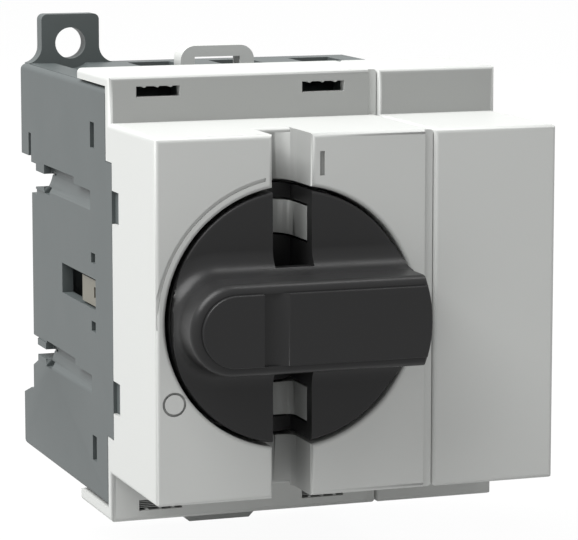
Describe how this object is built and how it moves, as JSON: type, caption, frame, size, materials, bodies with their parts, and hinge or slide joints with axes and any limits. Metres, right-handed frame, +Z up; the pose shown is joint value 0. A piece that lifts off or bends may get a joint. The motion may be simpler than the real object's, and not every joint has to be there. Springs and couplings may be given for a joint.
{
  "type": "din rail switch disconnector",
  "caption": "Rotary switch disconnector that snaps on a mounting rail, with a black grip handle, a padlock channel and a rail clip.",
  "frame": {"origin": "centre of the housing's seat on the front face of the mounting rail", "axes": "+X to the right seen from the front, +Y from the front to the back, +Z up"},
  "size_m": [0.0525, 0.0716, 0.0699],
  "materials": {
    "housing_plastic": "fine matt moulded",
    "cover_plastic": "fine matt moulded",
    "clip_plastic": "fine matt moulded",
    "handle_plastic": "satin moulded",
    "cam_plastic": "satin moulded",
    "carrier_plastic": "plain moulded",
    "copper": "bright strip",
    "spring_steel": "drawn wire",
    "zinc_steel": "zinc plated"
  },
  "bodies": {
    "base": {"housing": "housing_plastic", "front_cover": "cover_plastic", "side_cover": "cover_plastic", "upper_contact_1": "copper", "upper_contact_2": "copper", "upper_contact_3": "copper", "lower_contact_1": "copper", "lower_contact_2": "copper", "lower_contact_3": "copper", "upper_clamp_1": "zinc_steel", "upper_clamp_2": "zinc_steel", "upper_clamp_3": "zinc_steel", "lower_clamp_1": "zinc_steel", "lower_clamp_2": "zinc_steel", "lower_clamp_3": "zinc_steel", "upper_screw_1": "zinc_steel", "upper_screw_2": "zinc_steel", "upper_screw_3": "zinc_steel", "lower_screw_1": "zinc_steel", "lower_screw_2": "zinc_steel", "lower_screw_3": "zinc_steel", "clip_spring": "spring_steel"},
    "handle": {"handle": "handle_plastic", "drive_shaft": "zinc_steel", "cam": "cam_plastic"},
    "carrier": {"contact_carrier": "carrier_plastic", "moving_contact_1": "copper", "moving_contact_2": "copper", "moving_contact_3": "copper", "contact_spring_1": "spring_steel", "contact_spring_2": "spring_steel", "contact_spring_3": "spring_steel"},
    "clip": {"rail_clip": "clip_plastic"}
  },
  "joints": [
    {"name": "handle_turn", "type": "hinge", "parent": "base", "child": "handle", "pos_m": [-0.00635, -0.0582, 0], "axis": [0, 1, 0], "range_deg": [0, 90]},
    {"name": "carrier_slide", "type": "slide", "parent": "base", "child": "carrier", "axis": [0, 1, 0], "range_m": [0, 0.0075]},
    {"name": "clip_pull", "type": "slide", "parent": "base", "child": "clip", "axis": [0, 0, -1], "range_m": [0, 0.0022], "stiffness_N_per_m": 1200, "deforming": ["clip_spring"]}
  ],
  "couplings": [
    {"joint": "carrier_slide", "follows": "handle_turn", "m_per_rad": 0.004774}
  ]
}
